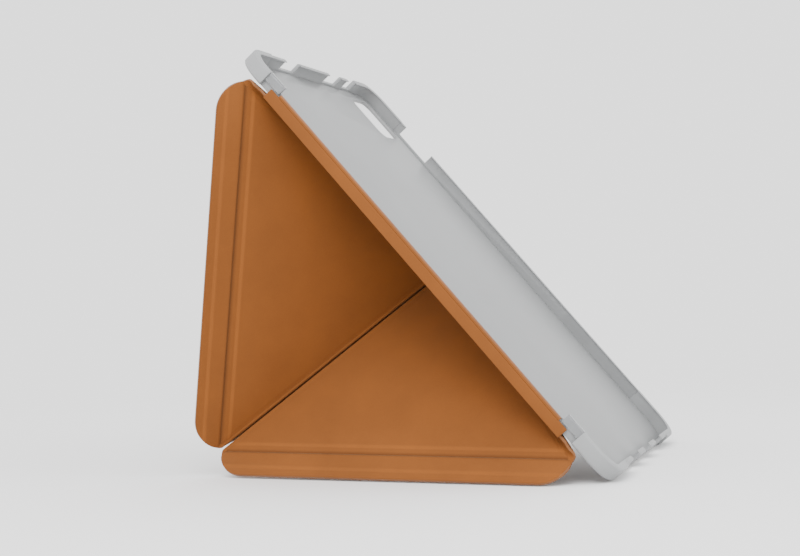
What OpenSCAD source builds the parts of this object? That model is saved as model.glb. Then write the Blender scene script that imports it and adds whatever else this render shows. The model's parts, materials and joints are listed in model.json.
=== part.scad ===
// Tablet folio: a moulded tray with a fold-up cover that stands the tablet upright.
// Tray frame: x across from the cover edge, y up from mid height, z out of the screen.
// Cover frame: x from the cover hinge, y from mid height, z from lining to leather.

/* [Tablet space] */
// Width of the space the tablet fills
space_w = 179; // [170:0.5:190]
// Height of the space the tablet fills
space_h = 248; // [240:0.5:260]
// Thickness of the space the tablet fills
space_t = 6.1; // [5.5:0.1:8]
// Corner radius of the tablet space
space_r = 11; // [6:0.5:16]

/* [Tray] */
// Side wall thickness
wall_t = 1.8; // [1.2:0.1:3]
// Back plate thickness
floor_t = 1.2; // [0.8:0.1:2.5]
// Height of the lip in front of the screen face
lip_h = 0.5; // [0.3:0.1:0.6]
// How far the lip reaches over the screen edge
lip_in = 0.8; // [0.4:0.1:1.5]
// Extra thickness of the corner bumpers
bump_t = 1; // [0.2:0.1:1.5]
// Length of a corner bumper along the top or bottom wall
bump_leg = 26; // [18:1:40]
// Where a left corner bumper ends, from the middle of the cover
bump_y = 107; // [100:1:110]
// Length of the clear clip below each left bumper
clip_len = 10; // [6:1:16]
// Width of the camera window
cam_w = 28; // [16:1:40]
// Width of the charging port notch
port_w = 18; // [10:1:30]
// Width of each speaker notch
spk_w = 20; // [10:1:20]

/* [Cover] */
// Cover width from the hinge to the free edge
cov_w = 174; // [170:1:190]
// Half of the cover height
cov_k = 125.5; // [122:0.5:132]
// Cover corner radius
cov_r = 14; // [10:1:20]
// Height of the cover middle above the tray middle
cov_up = 3; // [0:0.5:4]
// Distance of the crease crossing from the hinge
cross_x = 83; // [78:1:95]
// Cover panel thickness
pan_t = 2.2; // [2:0.1:4]
// Leather skin thickness
skin_t = 0.7; // [0.5:0.1:1.2]
// Lining thickness
lin_t = 0.5; // [0.4:0.1:1]
// Bare crease on each side of a fold
crease = 1.7; // [1.6:0.1:3]
// Width of the rim strip along the top and bottom edges
rim_w = 13.5; // [10:0.5:16]

/* [Spine] */
// Width of the spine between its two hinge lines
spine_w = 6; // [5:0.5:9]
// Thickness of the spine strip
spine_t = 1.5; // [1:0.1:2]
// Half length of the spine strip
spine_k = 101.3; // [90:0.1:106]

/* [Stand] */
// Lean of the tray from the table in the standing pose
tilt = 49.9; // [45:0.1:60]

/* [Hidden] */
$fn = 48;
h1 = [-2.4, -4.2];
hx = cov_k - cov_r;
pa = [0, hx, 0];
px = [cross_x, 0, 0];
pc = [cov_w, hx, 0];
tip_x = (cov_w * cov_w - 2 * hx * hx - (cov_w - cross_x) * (cov_w - cross_x) + cross_x * cross_x) / (2 * cross_x);
tip_z = -sqrt(cov_w * cov_w - hx * hx - tip_x * tip_x);
tip = [tip_x, 0, tip_z];
fold_ax = (px - pa) / norm(px - pa);
flat_v = (pc - pa) - fold_ax * ((pc - pa) * fold_ax);
up_v = (tip - pa) - fold_ax * ((tip - pa) * fold_ax);
wing_fold = acos((flat_v * up_v) / (norm(flat_v) * norm(up_v)));
fin_ax = (pc - px) / norm(pc - px);
up_ax = (tip - px) / norm(tip - px);
near_v = (pa - px) - up_ax * ((pa - px) * up_ax);
out_v = [-up_ax[2], 0, up_ax[0]];
fin_fold = acos(-(near_v * out_v) / norm(near_v));
zb = -space_t - floor_t;
hy = space_h / 2;
sill_z = -5;
spot = [-86.091, -19.318, 101.603];

// ---- placement ----
module stand() {
  translate(spot) rotate([tilt, 0, 0]) children();
}

module cover() {
  stand() translate([h1[0], cov_up, h1[1] - spine_w]) children();
}

module about(p, v, a) {
  translate(p) rotate(a = a, v = v) translate(-p) children();
}

module upper_wing() {
  cover() about(pa, fold_ax, -wing_fold) children();
}

module upper_fin() {
  upper_wing() about(px, fin_ax, -fin_fold) children();
}

module lower_wing() {
  cover() mirror([0, 1, 0]) about(pa, fold_ax, -wing_fold) children();
}

module lower_fin() {
  cover() mirror([0, 1, 0]) about(pa, fold_ax, -wing_fold) about(px, fin_ax, -fin_fold) children();
}

module slab(z0, z1) {
  translate([0, 0, z0]) linear_extrude(height = z1 - z0) children();
}

// ---- flat outlines of the cover, upper half ----
function arc(c, r, a0, a1) = [for (i = [0:10]) c + r * [cos(a0 + (a1 - a0) * i / 10), sin(a0 + (a1 - a0) * i / 10)]];

module cover_2d(edge) {
  r = cov_r - edge;
  polygon(concat(
    arc([cov_w - cov_r, cov_k - cov_r], r, 0, 90),
    arc([cov_r, cov_k - cov_r], r, 90, 180),
    arc([cov_r, cov_r - cov_k], r, 180, 270),
    arc([cov_w - cov_r, cov_r - cov_k], r, 270, 360)
  ));
}

module left_of(p, q, gap) {
  translate([p[0], p[1]]) rotate(atan2(q[1] - p[1], q[0] - p[0])) translate([-300, gap]) square([800, 400]);
}

module wing_2d(edge, gap) {
  intersection() {
    cover_2d(edge);
    left_of(pa, px, gap);
    left_of(px, pc, gap);
  }
}

module fin_2d(edge, gap, mid) {
  intersection() {
    cover_2d(edge);
    left_of(pc, px, gap);
    translate([0, mid]) square([cov_w * 2, cov_k * 2]);
  }
}

module centre_2d(edge, gap) {
  intersection() {
    left_of(px, pa, gap);
    left_of([0, -hx], px, gap);
    translate([edge, -cov_k]) square([cov_w, 2 * cov_k]);
  }
}

// ---- laminated panels ----
module main_zone() {
  intersection() {
    wing_2d(2, crease + 1.5);
    translate([-10, -10]) square([cov_w + 20, cov_k - rim_w + 9]);
  }
}

module rim_zone() {
  intersection() {
    wing_2d(2, crease + 1.5);
    translate([-10, cov_k - rim_w + 1]) square([cov_w + 20, rim_w]);
  }
}

module fin_zone() {
  fin_2d(2, crease + 1.5, 2);
}

module spots(list) {
  for (p = list) translate(p) circle(r = 4);
}

wing_mag = [px + 0.72 * (pc - px) + [-9, 7, 0], px + 0.88 * (pc - px) + [-10, 6, 0]];
fin_mag = [[cov_w - 9, 9, 0], [cov_w - 9, 30, 0]];

module wing_leather() {
  color([0.62, 0.36, 0.16]) difference() {
    slab(lin_t, pan_t) wing_2d(0, crease);
    slab(lin_t - 1, pan_t - skin_t) main_zone();
    slab(lin_t - 1, pan_t - skin_t) rim_zone();
  }
}

module wing_lining() {
  color([0.75, 0.48, 0.24]) difference() {
    slab(0, lin_t) wing_2d(0, crease);
    translate([-10, cov_k - rim_w - 0.5, -1]) cube([cov_w + 20, 1, 1.25]);
  }
}

module wing_board() {
  color([0.5, 0.5, 0.48]) difference() {
    slab(lin_t, pan_t - skin_t) main_zone();
    slab(lin_t - 1, pan_t) spots(wing_mag);
  }
}

module rim_board() {
  color([0.5, 0.5, 0.48]) slab(lin_t, pan_t - skin_t) rim_zone();
}

module wing_magnets() {
  color([0.6, 0.6, 0.62]) slab(lin_t, pan_t - skin_t) spots(wing_mag);
}

module fin_leather() {
  color([0.62, 0.36, 0.16]) difference() {
    slab(lin_t, pan_t) fin_2d(0, crease, 0.3);
    slab(lin_t - 1, pan_t - skin_t) fin_zone();
  }
}

module fin_lining() {
  color([0.75, 0.48, 0.24]) slab(0.2, lin_t) fin_2d(0, crease, 0.3);
}

module fin_board() {
  color([0.5, 0.5, 0.48]) difference() {
    slab(lin_t, pan_t - skin_t) fin_zone();
    slab(lin_t - 1, pan_t) spots(fin_mag);
  }
}

module fin_magnets() {
  color([0.6, 0.6, 0.62]) slab(lin_t, pan_t - skin_t) spots(fin_mag);
}

module upper_wing_leather() { upper_wing() wing_leather(); }
module upper_wing_board() { upper_wing() wing_board(); }
module upper_rim_board() { upper_wing() rim_board(); }
module upper_wing_lining() { upper_wing() wing_lining(); }
module upper_wing_magnets() { upper_wing() wing_magnets(); }
module lower_wing_leather() { lower_wing() wing_leather(); }
module lower_wing_board() { lower_wing() wing_board(); }
module lower_rim_board() { lower_wing() rim_board(); }
module lower_wing_lining() { lower_wing() wing_lining(); }
module lower_wing_magnets() { lower_wing() wing_magnets(); }
module upper_fin_leather() { upper_fin() fin_leather(); }
module upper_fin_board() { upper_fin() fin_board(); }
module upper_fin_lining() { upper_fin() fin_lining(); }
module upper_fin_magnets() { upper_fin() fin_magnets(); }
module lower_fin_leather() { lower_fin() fin_leather(); }
module lower_fin_board() { lower_fin() fin_board(); }
module lower_fin_lining() { lower_fin() fin_lining(); }
module lower_fin_magnets() { lower_fin() fin_magnets(); }

// The spine edge of the centre panel clears the spine strip when the fold is at 90 degrees.
module centre_leather() {
  color([0.62, 0.36, 0.16]) cover() difference() {
    slab(lin_t, pan_t) centre_2d(spine_t + 0.4, crease);
    slab(lin_t - 1, pan_t - skin_t) centre_2d(spine_t + 2, crease + 1.5);
  }
}

module centre_board() {
  color([0.5, 0.5, 0.48]) cover() slab(lin_t, pan_t - skin_t) centre_2d(spine_t + 2, crease + 1.5);
}

module centre_lining() {
  color([0.75, 0.48, 0.24]) cover() slab(0, lin_t) centre_2d(spine_t + 0.4, crease);
}

// ---- spine ----
module spine_lining() {
  color([0.78, 0.52, 0.28]) stand()
    translate([h1[0], cov_up - spine_k, h1[1] - spine_w + 0.35]) cube([0.5, 2 * spine_k, spine_w - 0.7]);
}

module spine_leather() {
  color([0.62, 0.36, 0.16]) stand()
    translate([h1[0] + 0.5, cov_up - spine_k, h1[1] - spine_w + 0.35]) cube([spine_t - 0.5, 2 * spine_k, spine_w - 0.7]);
}

module spine_anchor() {
  color([0.62, 0.36, 0.16]) stand()
    translate([h1[0] + 0.3, cov_up + 1 - bump_y + clip_len, h1[1] + 0.2])
    cube([1.8, 2 * (bump_y - clip_len) - 2, 1]);
}

// ---- tray ----
module space_2d() {
  for (s = [-1, 1]) {
    translate([space_r, s * (hy - space_r)]) circle(r = space_r);
    translate([space_w - space_r, s * (hy - space_r)]) circle(r = space_r);
  }
  translate([0, space_r - hy]) square([space_w, 2 * (hy - space_r)]);
  translate([space_r, -hy]) square([space_w - 2 * space_r, 2 * hy]);
}

// Camera window, near the corner opposite the cover.
module camera_2d(grow) {
  w = cam_w / 2 + grow;
  r = 6 + grow;
  translate([space_w - 20, hy - 20]) {
    for (sx = [-1, 1], sy = [-1, 1]) translate([sx * (w - r), sy * (w - r)]) circle(r = r);
    square([2 * w, 2 * (w - r)], center = true);
    square([2 * (w - r), 2 * w], center = true);
  }
}

module back_plate() {
  color([0.75, 0.76, 0.76]) stand() difference() {
    union() {
      slab(zb, -space_t) space_2d();
      slab(zb - 0.5, zb) camera_2d(1.6);
    }
    slab(zb - 2, 1) camera_2d(0);
  }
}

// Wall section: u runs outward from the tablet edge, v along z.
function wall_pts(u, zl) = [
  [0, zl], [u - 0.9, zl], [u, zl + 0.9], [u, lip_h - 0.7], [u - 0.7, lip_h],
  [-lip_in + 0.3, lip_h], [-lip_in, lip_h - 0.25], [-lip_in, 0], [0, 0]
];

module wall_run(len, u, zl) {
  rotate([90, 0, 90]) linear_extrude(height = len) polygon(wall_pts(u, zl));
}

// A run laid along +x with its outside facing +y.
module top_wall(x0, x1, u, zl) {
  translate([x0, hy, 0]) wall_run(x1 - x0, u, zl);
}

module side_wall(y0, y1, u, zl) {
  translate([space_w, y0, 0]) rotate([0, 0, 90]) mirror([0, 1, 0]) wall_run(y1 - y0, u, zl);
}

module corner(x, y, turn, u) {
  translate([x, y, 0]) rotate([0, 0, turn]) rotate_extrude(angle = 90)
    translate([space_r, 0]) polygon(wall_pts(u, zb));
}

module bumper_right() {
  u = wall_t + bump_t;
  corner(space_w - space_r, hy - space_r, 0, u);
  top_wall(space_w - bump_leg, space_w - space_r, u, zb);
  side_wall(hy - bump_leg, hy - space_r, u, zb);
}

module bumper_left(y0) {
  u = wall_t + bump_t;
  corner(space_r, hy - space_r, 90, u);
  top_wall(space_r, bump_leg, u, zb);
  translate([space_w, 0, 0]) mirror([1, 0, 0]) side_wall(y0, hy - space_r, u, zb);
}

module bumper_top_right() {
  color([0.72, 0.73, 0.73]) stand() bumper_right();
}

module bumper_bottom_right() {
  color([0.72, 0.73, 0.73]) stand() mirror([0, 1, 0]) bumper_right();
}

module bumper_top_left() {
  color([0.72, 0.73, 0.73]) stand() bumper_left(bump_y + cov_up);
}

module bumper_bottom_left() {
  color([0.72, 0.73, 0.73]) stand() mirror([0, 1, 0]) bumper_left(bump_y - cov_up);
}

module notch(x, w) {
  translate([x - w / 2, hy - 5, sill_z]) cube([w, 10, 10]);
}

module top_rail() {
  color([0.75, 0.76, 0.76]) stand() difference() {
    top_wall(bump_leg, space_w - bump_leg, wall_t, zb);
    notch(space_w / 2 - 36, spk_w);
    notch(space_w / 2 + 28, spk_w);
    notch(space_w - bump_leg - 8, 14);
  }
}

module bottom_rail() {
  color([0.75, 0.76, 0.76]) stand() mirror([0, 1, 0]) difference() {
    top_wall(bump_leg, space_w - bump_leg, wall_t, zb);
    notch(space_w / 2 - 36, spk_w);
    notch(space_w / 2 + 36, spk_w);
    notch(space_w / 2, port_w);
  }
}

module right_rail() {
  color([0.75, 0.76, 0.76]) stand() difference() {
    side_wall(bump_leg - hy, hy - bump_leg, wall_t, zb);
    translate([space_w - 5, hy - bump_leg - 26, sill_z]) cube([10, 22, 10]);
    magnet_bars();
  }
}

module magnet_bars() {
  for (y = [-62, 42]) translate([space_w + 0.4, y, -5.5]) cube([1, 20, 4]);
}

module tray_magnets() {
  color([0.6, 0.6, 0.62]) stand() magnet_bars();
}

module left_rail() {
  color([0.75, 0.76, 0.76]) stand() translate([0, cov_up, 0]) {
    translate([-0.6, -bump_y, zb]) cube([0.6, 2 * bump_y, h1[1] + 0.2 - zb]);
    translate([-0.3, clip_len - bump_y, h1[1] + 0.2]) cube([0.3, 2 * (bump_y - clip_len), 1]);
  }
}

module clip() {
  translate([0, bump_y - clip_len, 0]) rotate([90, 0, 0]) mirror([0, 0, 1]) linear_extrude(height = clip_len)
    polygon([
      [0, h1[1] + 0.2], [-wall_t + 0.3, h1[1] + 0.2], [-wall_t, h1[1] + 0.5], [-wall_t, lip_h - 0.6],
      [-wall_t + 0.6, lip_h], [lip_in, lip_h], [lip_in, 0], [0, 0]
    ]);
}

module clip_top() {
  color([0.85, 0.87, 0.88]) stand() translate([0, cov_up, 0]) clip();
}

module clip_bottom() {
  color([0.85, 0.87, 0.88]) stand() translate([0, cov_up, 0]) mirror([0, 1, 0]) clip();
}

back_plate();
bumper_top_left();
bumper_top_right();
bumper_bottom_left();
bumper_bottom_right();
top_rail();
bottom_rail();
right_rail();
left_rail();
clip_top();
clip_bottom();
spine_anchor();
tray_magnets();
spine_leather();
spine_lining();
centre_leather();
centre_board();
centre_lining();
upper_wing_leather();
upper_wing_board();
upper_rim_board();
upper_wing_lining();
upper_wing_magnets();
lower_wing_leather();
lower_wing_board();
lower_rim_board();
lower_wing_lining();
lower_wing_magnets();
upper_fin_leather();
upper_fin_board();
upper_fin_lining();
upper_fin_magnets();
lower_fin_leather();
lower_fin_board();
lower_fin_lining();
lower_fin_magnets();
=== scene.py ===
import json
import math

import bmesh
import bpy
from bpy.props import FloatProperty, FloatVectorProperty, PointerProperty
from mathutils import Matrix, Vector


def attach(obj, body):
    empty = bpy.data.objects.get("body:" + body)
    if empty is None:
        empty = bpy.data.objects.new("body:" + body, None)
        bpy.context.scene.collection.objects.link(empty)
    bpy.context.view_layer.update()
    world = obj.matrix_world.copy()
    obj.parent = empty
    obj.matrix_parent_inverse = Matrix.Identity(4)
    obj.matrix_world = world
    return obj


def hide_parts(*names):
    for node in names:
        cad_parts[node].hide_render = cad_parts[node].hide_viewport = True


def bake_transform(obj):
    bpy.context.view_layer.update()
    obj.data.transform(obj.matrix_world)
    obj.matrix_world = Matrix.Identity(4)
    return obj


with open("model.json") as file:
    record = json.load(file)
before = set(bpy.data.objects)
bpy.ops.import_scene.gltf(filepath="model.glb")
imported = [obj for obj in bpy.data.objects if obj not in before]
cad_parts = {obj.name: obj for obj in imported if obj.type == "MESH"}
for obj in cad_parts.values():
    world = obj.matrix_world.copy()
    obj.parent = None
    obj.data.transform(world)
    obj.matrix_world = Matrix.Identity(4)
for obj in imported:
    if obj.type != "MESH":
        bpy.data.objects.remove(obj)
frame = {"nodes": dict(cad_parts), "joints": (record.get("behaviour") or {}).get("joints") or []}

bl_info = {
    "name": "Origami tablet case",
    "version": (1, 0, 0),
    "blender": (4, 5, 0),
    "location": "View3D > Sidebar > Tablet case",
    "description": "Builds a tablet tray with a fold-up leather cover on its CAD frame",
    "category": "Add Mesh",
}

HINGES = {j["name"]: j for j in frame["joints"]}

# All lengths are in metres.
# Distances of the modelling lines: beside the groove, at the padded shoulder,
# and from the hemmed edge.
GROOVE_STEPS = [-0.0017, -0.0009, 0.0, 0.0009, 0.0017]
SHOULDER_STEPS = [0.0030, 0.0036, 0.0044, 0.0052]
HEM_STEPS = [0.0010, 0.0034, 0.0040, 0.0048, 0.0056]
FOLD_STEPS = [0.0008, 0.0015, 0.0022]

FOLD_DEPTH = 0.00042    # pressed down beside a fold and on the padded shoulder
GROOVE_DEPTH = 0.00075  # the groove beside the rim
HEM_DEPTH = 0.00038     # the hemmed free edges
STEP_WIDTH = 0.0008     # over which a pressed edge rises
GROOVE_HALF = 0.0009    # half width of the groove
SKIN_SHARE = 0.75       # how much of a depth shows on the leather side

SPINE_GAP = 0.0019      # centre panel to the cover hinge
FREE_EDGE_GAP = 0.0003  # each fin to the middle line, where the loop is opened
CROSSING_STOP = 0.0018  # how far short of the crossing the crease skins end
CREASE_LAP = 0.0005     # how far a crease skin reaches under each panel
SKIN_THICK = 0.0010
SKIN_LOW = 0.00055      # underside of the crease skin above the lining face
PANEL_ROUNDING = 0.0005

PANEL_CUTS = 6          # extra lines across each panel, for an even mesh
CREASE_CUTS_ACROSS = 12
CREASE_CUTS_ALONG = 24
BAND_CUTS = 24
STRIP_STEPS = 12
PUCKER_HALF = (0.0019, 0.0023, 0.0010)
PUCKER_HEIGHT = 0.0011  # its middle above the lining face

PANEL_SHARP = 60        # degrees, edges of a panel that get rounded
MOULD_SHARP = 24        # degrees, edges of a moulded piece that get rounded
FLAT_ANGLE = 1          # degrees, CAD facets flatter than this become one face
PANEL_LINING_Z = -0.6   # a face whose flat normal is lower than this is lining
CREASE_LINING_Z = -0.5

# How dark (above 0) or light (below 0) each line is painted: painted shade in the groove, painted
# highlight on the padded shoulder and the hem.
GROOVE_PAINTED_SHADE = 1.0
GROOVE_SIDE_PAINTED_SHADE = 0.45
SHOULDER_PAINTED_HIGHLIGHT = -1.0
HEM_PAINTED_HIGHLIGHT = -0.8
EDGE_DARKENING = 0.35
GROOVE_FLOOR = 0.0004   # half widths of the two painted-shade bands of the groove
GROOVE_SIDES = 0.0013
EDGE_BAND = 0.0006      # the darkened band at the hemmed edge

FLOOR_RADIUS = 3.0
FLOOR_DROP = 0.0002
FLOOR_FADE = (0.22, 0.75)
# Name, place, target, size and power.
LIGHTS = [
    ("key_light", (-1.1, -0.1, 1.0), (0, 0, 0.08), (0.9, 0.9), 18.0),
    ("front_light", (-0.2, -1.3, 0.9), (0, 0, 0.08), (0.8, 0.6), 6.0),
]
# The camera fitted to the photograph.
LENS = 76.206
LENS_SHIFT = (0.0501, -0.0038)
CAMERA_PLACE = (-0.80725, -0.21989, 0.09279)
CAMERA_RIGHT = (0.30671, -0.95126, -0.03212)
CAMERA_FORWARD = (0.95175, 0.30686, 0.00013)

MERGE = 1e-6            # vertices this close in a CAD node are one
TINY_EDGE = 2e-6        # edges shorter than this are closed up after rounding
UV_SCALE = 5
SMOOTH_ANGLE = 32       # degrees, sharper edges than this stay sharp


# ---------------------------------------------------------------- settings
class CoverSettings(bpy.types.PropertyGroup):
    """Sizes and colours of the folding cover."""

    width: FloatProperty(
        name="Width", description="From the cover hinge to the free edge",
        default=0.174, unit="LENGTH")
    half_height: FloatProperty(
        name="Half height", description="From the middle of the cover to its top edge",
        default=0.1255, unit="LENGTH")
    corner: FloatProperty(
        name="Corner radius", description="Radius of the four outer corners",
        default=0.014, unit="LENGTH")
    crossing: FloatProperty(
        name="Crossing", description="Where the creases meet, from the cover hinge",
        default=0.083, unit="LENGTH")
    thick: FloatProperty(
        name="Thickness", description="Leather, board and lining together",
        default=0.0022, unit="LENGTH")
    crease: FloatProperty(
        name="Crease", description="Bare width on each side of a fold",
        default=0.0017, unit="LENGTH")
    rim: FloatProperty(
        name="Rim strip", description="From the top edge to the groove beside it",
        default=0.0131, unit="LENGTH")
    leather: FloatVectorProperty(
        name="Leather", description="Colour of the outer skin",
        subtype="COLOR", default=(0.205, 0.068, 0.0105), min=0, max=1)
    lining: FloatVectorProperty(
        name="Lining", description="Colour of the brushed lining",
        subtype="COLOR", default=(0.188, 0.058, 0.0078), min=0, max=1)


class TraySettings(bpy.types.PropertyGroup):
    """Sizes and colours of the moulded tray."""

    edge: FloatProperty(
        name="Edge rounding", description="Rounding of the moulded edges",
        default=0.00025, unit="LENGTH")
    frosted: FloatVectorProperty(
        name="Frosted plastic", description="Colour of the walls and the back",
        subtype="COLOR", default=(0.295, 0.301, 0.304), min=0, max=1)
    clear: FloatVectorProperty(
        name="Clear plastic", description="Colour of the clips",
        subtype="COLOR", default=(0.335, 0.343, 0.350), min=0, max=1)


class StageSettings(bpy.types.PropertyGroup):
    """Floor and light."""

    floor: FloatVectorProperty(
        name="Floor", description="Colour of the floor", subtype="COLOR",
        default=(0.86, 0.86, 0.86), min=0, max=1)
    surround: FloatProperty(
        name="Surround", description="Brightness of the surrounding light",
        default=2.0, min=0)


# ---------------------------------------------------------------- places
def hinge_of(name):
    j = HINGES[name]
    return Vector(j["pos_m"]), Vector(j["axis"]).normalized()


def travel(name):
    return HINGES[name]["range_deg"][1]


def turned(name, degrees):
    """The turn about a hinge as it stands at rest."""
    pivot, axis = hinge_of(name)
    turn = Matrix.Rotation(math.radians(degrees), 4, axis)
    return Matrix.Translation(pivot) @ turn @ Matrix.Translation(-pivot)


def cover_place():
    """Flat cover to world: x from the hinge, y from the middle, z from lining to leather."""
    origin, up = hinge_of("cover_hinge")
    across = Vector((1, 0, 0))
    out = across.cross(up)
    m = Matrix((across, up, out)).transposed().to_4x4()
    m.translation = origin
    return m


def panel_place(body):
    """Where a panel's flat outline goes at rest."""
    m = cover_place()
    if body == "centre_panel":
        return m
    side = body.split("_")[0]
    m = turned(f"{side}_wing_fold", -travel(f"{side}_wing_fold")) @ m
    if body.endswith("fin"):
        m = turned(f"{side}_fin_fold", -travel(f"{side}_fin_fold")) @ m
    return m


def tray_place():
    """Tray to world, with the spine hinge line as its origin."""
    origin, up = hinge_of("spine_hinge")
    across = Vector((1, 0, 0))
    m = Matrix((across, up, across.cross(up))).transposed().to_4x4()
    m.translation = origin
    return m


# ---------------------------------------------------------------- materials
def new_material(name):
    mat = bpy.data.materials.new(name)
    mat.use_nodes = True
    tree = mat.node_tree
    return mat, tree, tree.nodes["Principled BSDF"]


def add_node(tree, kind, **values):
    node = tree.nodes.new(kind)
    for key, value in values.items():
        if key in node.inputs:
            node.inputs[key].default_value = value
        else:
            setattr(node, key, value)
    return node


def place_nodes(tree):
    return add_node(tree, "ShaderNodeTexCoord").outputs["Object"]


def shade(c, f):
    return (min(c[0] * f, 1), min(c[1] * f, 1), min(c[2] * f, 1), 1)


def noise(tree, where, scale, detail, rough=0.5):
    node = add_node(tree, "ShaderNodeTexNoise", Scale=scale, Detail=detail, Roughness=rough)
    tree.links.new(where, node.inputs["Vector"])
    return node.outputs["Fac"]


def two_tones(tree, fac, a, b, lo=0.35, hi=0.65):
    ramp = add_node(tree, "ShaderNodeValToRGB")
    ramp.color_ramp.elements[0].position = lo
    ramp.color_ramp.elements[1].position = hi
    ramp.color_ramp.elements[0].color = a
    ramp.color_ramp.elements[1].color = b
    tree.links.new(fac, ramp.inputs["Fac"])
    return ramp.outputs["Color"]


def bumped(tree, shader, height, depth, strength=1.0, under=None):
    node = add_node(tree, "ShaderNodeBump", Strength=strength, Distance=depth)
    tree.links.new(height, node.inputs["Height"])
    if under is not None:
        tree.links.new(under, node.inputs["Normal"])
    tree.links.new(node.outputs["Normal"], shader.inputs["Normal"])
    return node.outputs["Normal"]


def apply_painted_shading(tree, colour):
    """Multiplies painted shade into the bottoms of grooves and painted highlight onto raised lines,
    from the piece's own per-vertex attribute.
    """
    painted_shading = add_node(tree, "ShaderNodeAttribute", attribute_name="painted_shading").outputs["Fac"]
    # Painted shade: the colour falls to 0.58 of itself at value 1.
    dark = add_node(tree, "ShaderNodeMapRange")
    dark.inputs["To Min"].default_value = 1.0
    dark.inputs["To Max"].default_value = 0.58
    # Painted highlight: the colour rises to 1.16 of itself at value -1.
    light = add_node(tree, "ShaderNodeMapRange")
    light.inputs["From Min"].default_value = -1.0
    light.inputs["From Max"].default_value = 0.0
    light.inputs["To Min"].default_value = 1.16
    light.inputs["To Max"].default_value = 1.0
    both = add_node(tree, "ShaderNodeMath", operation="MULTIPLY")
    scaled = add_node(tree, "ShaderNodeVectorMath", operation="SCALE")
    tree.links.new(painted_shading, dark.inputs["Value"])
    tree.links.new(painted_shading, light.inputs["Value"])
    tree.links.new(dark.outputs["Result"], both.inputs[0])
    tree.links.new(light.outputs["Result"], both.inputs[1])
    tree.links.new(colour, scaled.inputs[0])
    tree.links.new(both.outputs["Value"], scaled.inputs["Scale"])
    return scaled.outputs["Vector"]


def leather_skin(colour):
    """Fine-grained smooth leather with pores, slow tone drift and soft gloss."""
    mat, tree, s = new_material("tan_leather")
    where = place_nodes(tree)
    cells = add_node(tree, "ShaderNodeTexVoronoi", Scale=1150.0, feature="SMOOTH_F1")
    tree.links.new(where, cells.inputs["Vector"])
    drift = noise(tree, where, 28.0, 4.0)
    tone = two_tones(tree, drift, shade(colour, 0.90), shade(colour, 1.08))
    pores = two_tones(
        tree, cells.outputs["Distance"], (1, 1, 1, 1), (0.84, 0.80, 0.76, 1), 0.25, 0.8)
    mix = add_node(tree, "ShaderNodeMix", data_type="RGBA", blend_type="MULTIPLY")
    mix.inputs["Factor"].default_value = 0.7
    tree.links.new(tone, mix.inputs["A"])
    tree.links.new(pores, mix.inputs["B"])
    # Colour darkened by painted shade in the grooves and lightened by painted highlight on raised
    # lines.
    tree.links.new(apply_painted_shading(tree, mix.outputs["Result"]), s.inputs["Base Color"])
    gloss = add_node(tree, "ShaderNodeMapRange")
    gloss.inputs["To Min"].default_value = 0.42
    gloss.inputs["To Max"].default_value = 0.60
    tree.links.new(noise(tree, where, 160.0, 3.0), gloss.inputs["Value"])
    tree.links.new(gloss.outputs["Result"], s.inputs["Roughness"])
    s.inputs["Specular IOR Level"].default_value = 0.45
    s.inputs["Sheen Weight"].default_value = 0.05
    creasing = bumped(tree, s, noise(tree, where, 90.0, 5.0), 0.00012, 0.5)
    bumped(tree, s, cells.outputs["Distance"], 0.00016, 0.55, creasing)
    return mat


def brushed_lining(colour):
    """Matt microfibre with short nap, cloudy brushing marks and a soft sheen."""
    mat, tree, s = new_material("tan_microfibre")
    where = place_nodes(tree)
    nap = noise(tree, where, 2600.0, 3.0, 0.7)
    cloud = noise(tree, where, 34.0, 5.0, 0.6)
    tone = two_tones(tree, cloud, shade(colour, 0.91), shade(colour, 1.07), 0.3, 0.7)
    fibres = two_tones(tree, nap, (0.86, 0.83, 0.80, 1), (1, 1, 1, 1), 0.3, 0.62)
    mix = add_node(tree, "ShaderNodeMix", data_type="RGBA", blend_type="MULTIPLY")
    mix.inputs["Factor"].default_value = 0.8
    tree.links.new(tone, mix.inputs["A"])
    tree.links.new(fibres, mix.inputs["B"])
    # Colour darkened by painted shade in the grooves and lightened by painted highlight on raised
    # lines.
    tree.links.new(apply_painted_shading(tree, mix.outputs["Result"]), s.inputs["Base Color"])
    s.inputs["Roughness"].default_value = 0.82
    s.inputs["Specular IOR Level"].default_value = 0.25
    s.inputs["Sheen Weight"].default_value = 0.18
    s.inputs["Sheen Roughness"].default_value = 0.45
    s.inputs["Sheen Tint"].default_value = (1.0, 0.72, 0.45, 1.0)
    soft = bumped(tree, s, cloud, 0.00025, 0.35)
    bumped(tree, s, nap, 0.00010, 0.6, soft)
    return mat


def moulded_plastic(name, colour, rough, through, grain=0.35):
    """Translucent moulded plastic with a fine spark-eroded texture."""
    mat, tree, s = new_material(name)
    where = place_nodes(tree)
    tone = two_tones(tree, noise(tree, where, 18.0, 3.0), shade(colour, 0.965), shade(colour, 1.03))
    tree.links.new(tone, s.inputs["Base Color"])
    s.inputs["Roughness"].default_value = rough
    s.inputs["IOR"].default_value = 1.46
    s.inputs["Transmission Weight"].default_value = through
    bumped(tree, s, noise(tree, where, 2200.0, 2.0, 0.6), 0.00005, grain)
    return mat


def plated_steel():
    """Nickel-plated magnet faces with fine turning marks."""
    mat, tree, s = new_material("plated_magnet")
    where = place_nodes(tree)
    tone = two_tones(
        tree, noise(tree, where, 300.0, 3.0), (0.50, 0.50, 0.52, 1), (0.62, 0.62, 0.64, 1))
    tree.links.new(tone, s.inputs["Base Color"])
    s.inputs["Metallic"].default_value = 1.0
    s.inputs["Roughness"].default_value = 0.32
    bumped(tree, s, noise(tree, where, 1800.0, 2.0), 0.00003, 0.3)
    return mat


# ---------------------------------------------------------------- mesh helpers
def face_outwards(bm):
    """Turn a closed mesh's faces outwards, by its volume where the recalculation errs."""
    bmesh.ops.recalc_face_normals(bm, faces=bm.faces[:])
    if bm.calc_volume(signed=True) < 0:
        bmesh.ops.reverse_faces(bm, faces=bm.faces[:])
    bm.normal_update()


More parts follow.
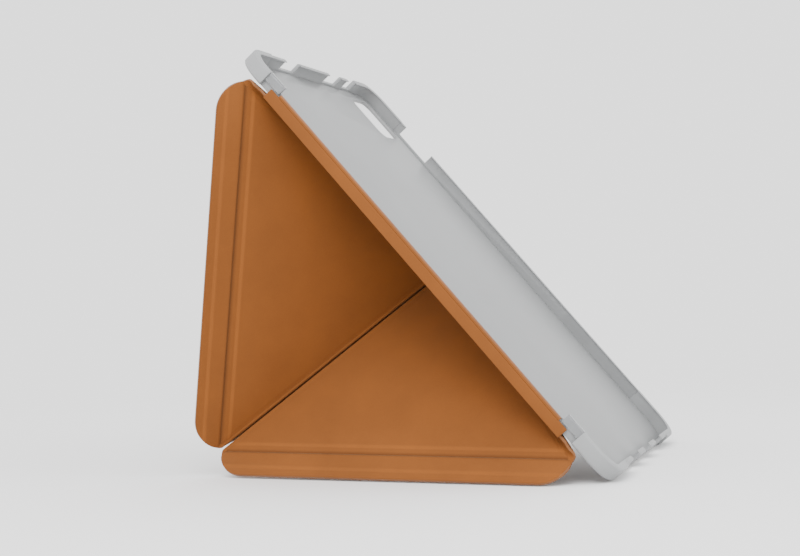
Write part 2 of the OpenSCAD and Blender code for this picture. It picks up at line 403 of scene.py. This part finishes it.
def piece_from(bm, name, mat, turn=True):
    """A finished object. A CAD copy keeps its faces as they are: it may hold sealed pockets."""
    if turn:
        face_outwards(bm)
    mesh = bpy.data.meshes.new(name)
    bm.to_mesh(mesh)
    bm.free()
    mesh.materials.append(mat)
    obj = bpy.data.objects.new(name, mesh)
    bpy.context.scene.collection.objects.link(obj)
    mesh.shade_smooth()
    mesh.set_sharp_from_angle(angle=math.radians(SMOOTH_ANGLE))
    return obj


def cut(bm, point, outward, clear):
    """A straight cut through the flat sheet; clear throws away what lies outward."""
    geom = bm.verts[:] + bm.edges[:] + bm.faces[:]
    bmesh.ops.bisect_plane(
        bm, geom=geom, dist=1e-7, plane_co=point, plane_no=outward, clear_outer=clear)


def solid(bm, thick):
    """Thicken an open sheet against its normals."""
    bmesh.ops.solidify(bm, geom=bm.faces[:] + bm.edges[:] + bm.verts[:], thickness=thick)


def thickened(bm, thick, height):
    """Thicken a flat sheet and set its underside at a height."""
    solid(bm, thick)
    low = min(v.co.z for v in bm.verts)
    bmesh.ops.translate(bm, vec=(0, 0, height - low), verts=bm.verts[:])


def sharp_edges(bm, degrees):
    return [
        e for e in bm.edges
        if len(e.link_faces) == 2 and e.calc_face_angle(0) > math.radians(degrees)]


def rounded(bm, edges, offset, segments):
    bmesh.ops.bevel(
        bm, geom=edges, offset=offset, segments=segments, profile=0.5,
        affect="EDGES", material=-1, clamp_overlap=True)


def sheet_blank(c):
    """The whole flat cover as one face with rounded corners."""
    bm = bmesh.new()
    bmesh.ops.create_grid(bm, x_segments=1, y_segments=1, size=0.5)
    bmesh.ops.scale(bm, vec=(c.width, 2 * c.half_height, 1), verts=bm.verts[:])
    bmesh.ops.translate(bm, vec=(c.width / 2, 0, 0), verts=bm.verts[:])
    bmesh.ops.bevel(
        bm, geom=bm.verts[:], offset=c.corner, segments=14, profile=0.5,
        affect="VERTICES", material=-1)
    return bm


def creases_of(c):
    """Flat end points of the folds on the upper half."""
    h = c.half_height - c.corner
    cross = Vector((c.crossing, 0, 0))
    return Vector((0, h, 0)), cross, Vector((c.width, h, 0)), Vector((c.width, 0, 0))


def fence(p, q, away_from):
    """A fold line as (point, outward normal), outward being away from the given point."""
    n = Vector((p.y - q.y, q.x - p.x, 0)).normalized()
    if (away_from - p).dot(n) > 0:
        n = -n
    return p.copy(), n


def panel_fences(c, kind, side):
    """The lines that bound a panel. Each inner is any point well inside it."""
    a, cross, far, mid = (Vector((v.x, v.y * side, 0)) for v in creases_of(c))
    if kind == "wing":
        inner = Vector((cross.x, c.half_height * side * 0.9, 0))
        return [fence(a, cross, inner), fence(cross, far, inner)]
    if kind == "fin":
        inner = Vector((c.width * 0.95, 0.02 * side, 0))
        return [fence(cross, far, inner), fence(cross, mid, inner)]
    inner = Vector((0.01, 0, 0))
    low = Vector((a.x, -a.y, 0))
    hinge_side = (Vector((0, 0, 0)), Vector((-1, 0, 0)))
    return [fence(a, cross, inner), fence(cross, low, inner), hinge_side]


def panel_gaps(c, kind):
    """How far the panel stays from each of those lines."""
    if kind == "wing":
        return [c.crease, c.crease]
    if kind == "fin":
        return [c.crease, FREE_EDGE_GAP]
    return [c.crease, c.crease, SPINE_GAP]


def panel_relief(c, kind, side, fences, gaps):
    """Depth of the surface below full thickness, from the distances to edges and grooves."""
    def pressed(most, distance, start, width):
        """The full depth up to a distance, rising to none over a width."""
        return most * (1 - min(max((distance - start) / width, 0), 1))

    def depth(p):
        d = 0.0
        for (point, n), gap in zip(fences, gaps):
            away = (point - p).dot(n) - gap
            d = max(d, pressed(FOLD_DEPTH, away, FOLD_STEPS[0], FOLD_STEPS[2] - FOLD_STEPS[0]))
        if kind == "wing":
            rim = c.half_height - p.y * side
            shoulder = rim - c.rim
            d = max(d, pressed(GROOVE_DEPTH, abs(shoulder), 0, GROOVE_HALF))
            if 0 <= shoulder < SHOULDER_STEPS[2]:
                d = max(d, pressed(FOLD_DEPTH, shoulder, SHOULDER_STEPS[1], STEP_WIDTH))
            if rim < HEM_STEPS[3]:
                d = max(d, pressed(HEM_DEPTH, rim, HEM_STEPS[2], STEP_WIDTH))
        elif kind == "fin":
            d = max(d, pressed(HEM_DEPTH, c.width - p.x, HEM_STEPS[2], STEP_WIDTH))
        return d

    return depth


def panel_painted_shading(c, kind, side, p):
    """How dark (1) or light (-1) the surface is painted at a point of the flat outline: painted
    shade in the groove, painted highlight on raised lines.
    """
    if kind == "centre":
        return 0.0
    rim = c.half_height - p.y * side if kind == "wing" else c.width - p.x
    if kind == "wing":
        # Painted shade in the groove, painted highlight on the shoulder and the hem rise, and a
        # darker band at the very edge.
        groove = abs(rim - c.rim)
        if groove < GROOVE_SIDES:
            return GROOVE_PAINTED_SHADE if groove < GROOVE_FLOOR else GROOVE_SIDE_PAINTED_SHADE
        if SHOULDER_STEPS[0] < rim - c.rim - 0.0001 < SHOULDER_STEPS[3] - 0.0003:
            return SHOULDER_PAINTED_HIGHLIGHT
    if HEM_STEPS[1] + 0.0002 < rim < HEM_STEPS[4] - 0.0002:
        return HEM_PAINTED_HIGHLIGHT
    return EDGE_DARKENING if rim < EDGE_BAND else 0.0


def build_panel(c, body, kind, side, skin, lining):
    """One stiff panel of the cover, cut from the flat sheet and laid in its folded place."""
    bm = sheet_blank(c)
    fences, gaps = panel_fences(c, kind, side), panel_gaps(c, kind)
    for (point, n), gap in zip(fences, gaps):
        cut(bm, point - n * gap, n, True)
    if kind == "fin":
        cut(bm, Vector((0, FREE_EDGE_GAP * side, 0)), Vector((0, -side, 0)), True)
    for (point, n), gap in zip(fences, gaps):
        for step in FOLD_STEPS:
            cut(bm, point - n * (gap + step), n, False)
    if kind == "wing":
        lines = [c.rim + step for step in GROOVE_STEPS + SHOULDER_STEPS] + HEM_STEPS
        for line in lines:
            cut(bm, Vector((0, (c.half_height - line) * side, 0)), Vector((0, side, 0)), False)
    if kind == "fin":
        for line in HEM_STEPS:
            cut(bm, Vector((c.width - line, 0, 0)), Vector((1, 0, 0)), False)
    for part in range(1, PANEL_CUTS):
        cut(bm, Vector((c.width * part / PANEL_CUTS, 0, 0)), Vector((1, 0, 0)), False)
    thickened(bm, c.thick, 0)
    depth = panel_relief(c, kind, side, fences, gaps)
    for v in bm.verts:
        d = depth(v.co)
        v.co.z = d if v.co.z < c.thick / 2 else c.thick - d * SKIN_SHARE
    # Per-vertex painted shade and painted highlight, read by the leather and lining colours.
    painted_shading = bm.verts.layers.float.new("painted_shading")
    for v in bm.verts:
        v[painted_shading] = panel_painted_shading(c, kind, side, v.co)
    face_outwards(bm)
    rounded(bm, sharp_edges(bm, PANEL_SHARP), PANEL_ROUNDING, 3)
    flat = bm.loops.layers.uv.new("flat")
    bm.normal_update()
    for f in bm.faces:
        f.material_index = 1 if f.normal.z < PANEL_LINING_Z else 0
        for loop in f.loops:
            loop[flat].uv = (loop.vert.co.x * UV_SCALE, loop.vert.co.y * UV_SCALE)
    bm.transform(panel_place(body))
    obj = piece_from(bm, f"{body}_cover", skin)
    obj.data.materials.append(lining)
    return obj


def smooth_step(t):
    t = min(max(t, 0), 1)
    return t * t * (3 - 2 * t)


def build_crease(c, name, p, q, far_stop, bodies, joint, skin, lining):
    """The bare skin across a fold, cut from the flat blank and bent to the resting fold."""
    first, second = bodies
    along = (q - p).normalized()
    over = Vector((-along.y, along.x, 0))
    toward = 1 if over.dot(panel_middle(c, second) - p) > 0 else -1
    over *= toward
    width = c.crease + CREASE_LAP
    bm = sheet_blank(c)
    cut(bm, p + over * width, over, True)
    cut(bm, p - over * width, -over, True)
    cut(bm, q - along * far_stop, along, True)
    for step in range(1, CREASE_CUTS_ACROSS):
        cut(bm, p + over * width * (2 * step / CREASE_CUTS_ACROSS - 1), over, False)
    for step in range(1, CREASE_CUTS_ALONG):
        cut(bm, p.lerp(q, step / CREASE_CUTS_ALONG), along, False)
    thickened(bm, SKIN_THICK, SKIN_LOW)
    face_outwards(bm)
    for f in bm.faces:
        f.material_index = 1 if f.normal.z < CREASE_LINING_Z else 0
    place = panel_place(first)
    pivot, axis = hinge_of(joint)

    def bent(co):
        share = smooth_step(((co - p).dot(over) / c.crease + 1) / 2)
        turn = Matrix.Rotation(math.radians(-travel(joint) * share), 4, axis)
        return pivot + turn @ (place @ co - pivot)

    for v in bm.verts:
        v.co = bent(v.co)
    obj = piece_from(bm, name, skin)
    obj.data.materials.append(lining)
    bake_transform(obj)
    return obj


def build_crossing(c, skin):
    """The small pucker of skin where all the creases meet. It leaves a speck open behind."""
    bm = bmesh.new()
    bmesh.ops.create_uvsphere(bm, u_segments=24, v_segments=12, radius=1.0)
    bmesh.ops.scale(bm, vec=PUCKER_HALF, verts=bm.verts[:])
    bmesh.ops.translate(bm, vec=(c.crossing, 0, PUCKER_HEIGHT), verts=bm.verts[:])
    bm.transform(panel_place("centre_panel"))
    obj = piece_from(bm, "crease_crossing", skin)
    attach(obj, "centre_panel")
    return obj


def panel_middle(c, body):
    side = -1 if body.startswith("lower") else 1
    _, cross, _, _ = creases_of(c)
    if body == "centre_panel":
        return Vector((0.02, 0, 0))
    if body.endswith("wing"):
        return Vector((cross.x, c.half_height * 0.8 * side, 0))
    return Vector((c.width * 0.95, 0.02 * side, 0))


def strip(name, path, thick, y0, y1, mat):
    """A long band: a flat profile in the tray's x and z, thickened and run along y."""
    bm = bmesh.new()
    verts = [bm.verts.new((x, y0, z)) for x, z in path]
    edges = [bm.edges.new((a, b)) for a, b in zip(verts, verts[1:])]
    for _ in range(STRIP_STEPS):
        made = bmesh.ops.extrude_edge_only(bm, edges=edges)
        edges = [g for g in made["geom"] if isinstance(g, bmesh.types.BMEdge)]
        moved = [g for g in made["geom"] if isinstance(g, bmesh.types.BMVert)]
        bmesh.ops.translate(bm, vec=(0, (y1 - y0) / STRIP_STEPS, 0), verts=moved)
    bmesh.ops.recalc_face_normals(bm, faces=bm.faces[:])
    solid(bm, thick)
    bm.transform(tray_place())
    return piece_from(bm, name, mat)


def extent(place, *nodes):
    """Lowest and highest corner of some CAD nodes, in a place's own directions."""
    back = place.inverted()
    points = [back @ v.co for n in nodes for v in frame["nodes"][n].data.vertices]
    low = Vector(min(p[i] for p in points) for i in range(3))
    high = Vector(max(p[i] for p in points) for i in range(3))
    return low, high


def band(name, rounding, mat, *nodes):
    """A long flat strip with rounded edges that fills the space of the nodes it replaces."""
    place = tray_place()
    low, high = extent(place, *nodes)
    bm = bmesh.new()
    bmesh.ops.create_cube(bm, size=1.0)
    bmesh.ops.scale(bm, vec=high - low, verts=bm.verts[:])
    bmesh.ops.translate(bm, vec=(low + high) / 2, verts=bm.verts[:])
    rounded(bm, bm.edges[:], rounding, 4)
    for step in range(1, BAND_CUTS):
        cut(bm, low.lerp(high, step / BAND_CUTS), Vector((0, 1, 0)), False)
    bm.transform(place)
    made = piece_from(bm, name, mat)
    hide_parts(*nodes)
    return made


def round_path(centre, radius, first, last, steps, tails):
    """A quarter bend in the tray's x and z, with a straight tail at each end."""
    x, z = centre
    points = []
    for i in range(steps + 1):
        a = math.radians(first + (last - first) * i / steps)
        points.append((x + radius * math.cos(a), z + radius * math.sin(a)))
    up = -math.copysign(1, last - first)
    before = (points[0][0], points[0][1] - up * tails[0])
    after = (points[-1][0] + tails[1], points[-1][1])
    return [before] + points + [after]


def softened(node, rounding, mat):
    """A merged copy of a moulded CAD node with rounded edges and no zero-area faces."""
    bm = bmesh.new()
    bm.from_mesh(frame["nodes"][node].data)
    bmesh.ops.remove_doubles(bm, verts=bm.verts[:], dist=MERGE)
    bmesh.ops.dissolve_limit(
        bm, angle_limit=math.radians(FLAT_ANGLE), verts=bm.verts[:], edges=bm.edges[:])
    rounded(bm, sharp_edges(bm, MOULD_SHARP), rounding, 2)
    bmesh.ops.dissolve_degenerate(bm, dist=TINY_EDGE, edges=bm.edges[:])
    obj = piece_from(bm, f"{node}_moulded", mat, turn=False)
    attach(obj, "tray")
    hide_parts(node)
    return obj


# ---------------------------------------------------------------- finishes
def finish_of(kind):
    """The shared materials, made once. Their names differ from the frame's own materials."""
    scene = bpy.context.scene
    tray = scene.case_tray
    makers = {
        "tan_leather": lambda: leather_skin(scene.case_cover.leather),
        "tan_microfibre": lambda: brushed_lining(scene.case_cover.lining),
        "frosted_wall": lambda: moulded_plastic("frosted_wall", tray.frosted, 0.42, 0.22),
        "frosted_bumper": lambda: moulded_plastic("frosted_bumper", tray.frosted, 0.5, 0.10),
        "clear_clip": lambda: moulded_plastic("clear_clip", tray.clear, 0.12, 0.55, 0.1),
        "plated_magnet": plated_steel,
    }
    return bpy.data.materials.get(kind) or makers[kind]()


# ---------------------------------------------------------------- operators
class CASE_OT_tray(bpy.types.Operator):
    """Make the moulded tray: back plate, walls, bumpers and clips"""

    bl_idname = "case.tray"
    bl_label = "Tray"

    def execute(self, context):
        edge = context.scene.case_tray.edge
        for node in ("back_plate", "top_rail", "bottom_rail", "right_rail", "left_rail"):
            softened(node, edge, finish_of("frosted_wall"))
        for corner in ("top_left", "top_right", "bottom_left", "bottom_right"):
            made = softened(f"bumper_{corner}", edge, finish_of("frosted_bumper"))
        for node in ("clip_top", "clip_bottom"):
            softened(node, edge * 0.8, finish_of("clear_clip"))
        magnets = frame["nodes"]["tray_magnets"]
        for holder in magnets.material_slots:
            holder.material = finish_of("plated_magnet")
        return {"FINISHED"}


class CASE_OT_panels(bpy.types.Operator):
    """Make the five stiff panels of the cover"""

    bl_idname = "case.panels"
    bl_label = "Cover panels"

    def execute(self, context):
        c = context.scene.case_cover
        skin, lining = finish_of("tan_leather"), finish_of("tan_microfibre")
        jobs = [
            ("centre_panel", "centre", 1, ["centre_leather", "centre_board", "centre_lining"]),
            ("upper_wing", "wing", 1, ["upper_wing_leather", "upper_wing_board", "upper_rim_board",
                                       "upper_wing_lining", "upper_wing_magnets"]),
            ("lower_wing", "wing", -1, ["lower_wing_leather", "lower_wing_board", "lower_rim_board",
                                        "lower_wing_lining", "lower_wing_magnets"]),
            ("upper_fin", "fin", 1, ["upper_fin_leather", "upper_fin_board", "upper_fin_lining",
                                     "upper_fin_magnets"]),
            ("lower_fin", "fin", -1, ["lower_fin_leather", "lower_fin_board", "lower_fin_lining",
                                      "lower_fin_magnets"]),
        ]
        for body, kind, side, nodes in jobs:
            made = build_panel(c, body, kind, side, skin, lining)
            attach(made, body)
            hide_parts(*nodes)
        return {"FINISHED"}


class CASE_OT_creases(bpy.types.Operator):
    """Make the flexible skin across the four folds of the cover"""

    bl_idname = "case.creases"
    bl_label = "Creases"

    def execute(self, context):
        c = context.scene.case_cover
        skin, lining = finish_of("tan_leather"), finish_of("tan_microfibre")
        a, cross, far, _ = creases_of(c)
        for side, word in ((1, "upper"), (-1, "lower")):
            p, x, q = (Vector((v.x, v.y * side, 0)) for v in (a, cross, far))
            made = build_crease(
                c, f"{word}_wing_crease", p, x, CROSSING_STOP, ("centre_panel", f"{word}_wing"),
                f"{word}_wing_fold", skin, lining)
            made = build_crease(
                c, f"{word}_fin_crease", q, x, CROSSING_STOP, (f"{word}_wing", f"{word}_fin"),
                f"{word}_fin_fold", skin, lining)
        build_crossing(c, skin)
        return {"FINISHED"}


class CASE_OT_spine(bpy.types.Operator):
    """Make the spine strip, its two flexible hinges and the anchor on the tray"""

    bl_idname = "case.spine"
    bl_label = "Spine"

    def execute(self, context):
        skin, lining = finish_of("tan_leather"), finish_of("tan_microfibre")
        spine = band("spine_strip", 0.0004, lining, "spine_leather", "spine_lining")
        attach(spine, "spine")
        anchor = band("spine_anchor_band", 0.0003, skin, "spine_anchor")
        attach(anchor, "tray")
        half = extent(tray_place(), "spine_lining")[1].y
        inner_half = extent(tray_place(), "spine_anchor")[1].y
        place = tray_place()
        upper = strip(
            "spine_upper_skin", round_path((0.0010, -0.0001), 0.0009, 180, 90, 6, (0.0002, 0.0006)),
            0.0005, -inner_half, inner_half, lining)
        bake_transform(upper)
        lower = strip(
            "spine_lower_skin",
            round_path((0.0011, -0.0049), 0.0009, 180, 270, 6, (0.0004, 0.0014)),
            0.0005, -half, half, lining)
        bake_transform(lower)
        return {"FINISHED"}


class CASE_OT_stage(bpy.types.Operator):
    """Make the floor, the lights and the camera"""

    bl_idname = "case.stage"
    bl_label = "Stage"

    def execute(self, context):
        scene = context.scene
        st = scene.case_stage
        bm = bmesh.new()
        bmesh.ops.create_circle(bm, cap_ends=True, radius=FLOOR_RADIUS, segments=96)
        floor_mesh = bpy.data.meshes.new("floor")
        bm.to_mesh(floor_mesh)
        bm.free()
        floor = bpy.data.objects.new("floor", floor_mesh)
        floor.location.z = -FLOOR_DROP
        scene.collection.objects.link(floor)
        mat, tree, s = new_material("pale_floor")
        s.inputs["Base Color"].default_value = (*st.floor, 1)
        s.inputs["Roughness"].default_value = 0.9
        where = add_node(tree, "ShaderNodeTexCoord").outputs["Object"]
        dist = add_node(tree, "ShaderNodeVectorMath", operation="LENGTH")
        tree.links.new(where, dist.inputs[0])
        fade = add_node(tree, "ShaderNodeMapRange", interpolation_type="SMOOTHSTEP")
        fade.inputs["From Min"].default_value = FLOOR_FADE[0]
        fade.inputs["From Max"].default_value = FLOOR_FADE[1]
        tree.links.new(dist.outputs["Value"], fade.inputs["Value"])
        clear = add_node(tree, "ShaderNodeBsdfTransparent")
        mix = add_node(tree, "ShaderNodeMixShader")
        tree.links.new(fade.outputs["Result"], mix.inputs["Fac"])
        tree.links.new(s.outputs["BSDF"], mix.inputs[1])
        tree.links.new(clear.outputs["BSDF"], mix.inputs[2])
        tree.links.new(mix.outputs["Shader"], tree.nodes["Material Output"].inputs["Surface"])
        floor_mesh.materials.append(mat)

        world = bpy.data.worlds.new("studio")
        world.use_nodes = True
        back = world.node_tree.nodes["Background"]
        back.inputs["Color"].default_value = (1, 1, 1, 1)
        back.inputs["Strength"].default_value = st.surround
        scene.world = world

        def softbox(name, at, target, size, power):
            data = bpy.data.lights.new(name, "AREA")
            data.shape = "RECTANGLE"
            data.size, data.size_y = size
            data.energy = power
            lamp = bpy.data.objects.new(name, data)
            lamp.location = at
            lamp.rotation_euler = (Vector(target) - Vector(at)).to_track_quat("-Z", "Y").to_euler()
            scene.collection.objects.link(lamp)

        for light in LIGHTS:
            softbox(*light)

        data = bpy.data.cameras.new("camera")
        data.sensor_width = 36.0
        data.lens = LENS
        data.shift_x, data.shift_y = LENS_SHIFT
        data.clip_start, data.clip_end = 0.05, 20
        cam = bpy.data.objects.new("camera", data)
        right = Vector(CAMERA_RIGHT)
        forward = Vector(CAMERA_FORWARD).normalized()
        up = right.cross(forward).normalized()
        m = Matrix((right, up, -forward)).transposed().to_4x4()
        m.translation = CAMERA_PLACE
        cam.matrix_world = m
        scene.collection.objects.link(cam)
        scene.camera = cam
        return {"FINISHED"}


class CASE_PT_panel(bpy.types.Panel):
    """Buttons and settings of the tablet case"""

    bl_idname = "CASE_PT_panel"
    bl_label = "Tablet case"
    bl_space_type = "VIEW_3D"
    bl_region_type = "UI"
    bl_category = "Tablet case"

    def draw(self, context):
        col = self.layout.column(align=True)
        for op in (CASE_OT_tray, CASE_OT_panels, CASE_OT_creases, CASE_OT_spine, CASE_OT_stage):
            col.operator(op.bl_idname)
        for group in (context.scene.case_cover, context.scene.case_tray, context.scene.case_stage):
            box = self.layout.box()
            for prop in group.__annotations__:
                box.prop(group, prop)


CLASSES = (
    CoverSettings, TraySettings, StageSettings,
    CASE_OT_tray, CASE_OT_panels, CASE_OT_creases, CASE_OT_spine, CASE_OT_stage,
    CASE_PT_panel,
)


def register():
    for cls in CLASSES:
        bpy.utils.register_class(cls)
    bpy.types.Scene.case_cover = PointerProperty(type=CoverSettings)
    bpy.types.Scene.case_tray = PointerProperty(type=TraySettings)
    bpy.types.Scene.case_stage = PointerProperty(type=StageSettings)


def unregister():
    del bpy.types.Scene.case_stage
    del bpy.types.Scene.case_tray
    del bpy.types.Scene.case_cover
    for cls in reversed(CLASSES):
        bpy.utils.unregister_class(cls)


def main():
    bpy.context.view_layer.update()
    register()
    bpy.ops.case.tray()
    bpy.ops.case.panels()
    bpy.ops.case.creases()
    bpy.ops.case.spine()
    bpy.ops.case.stage()


if __name__ == "__main__":
    main()
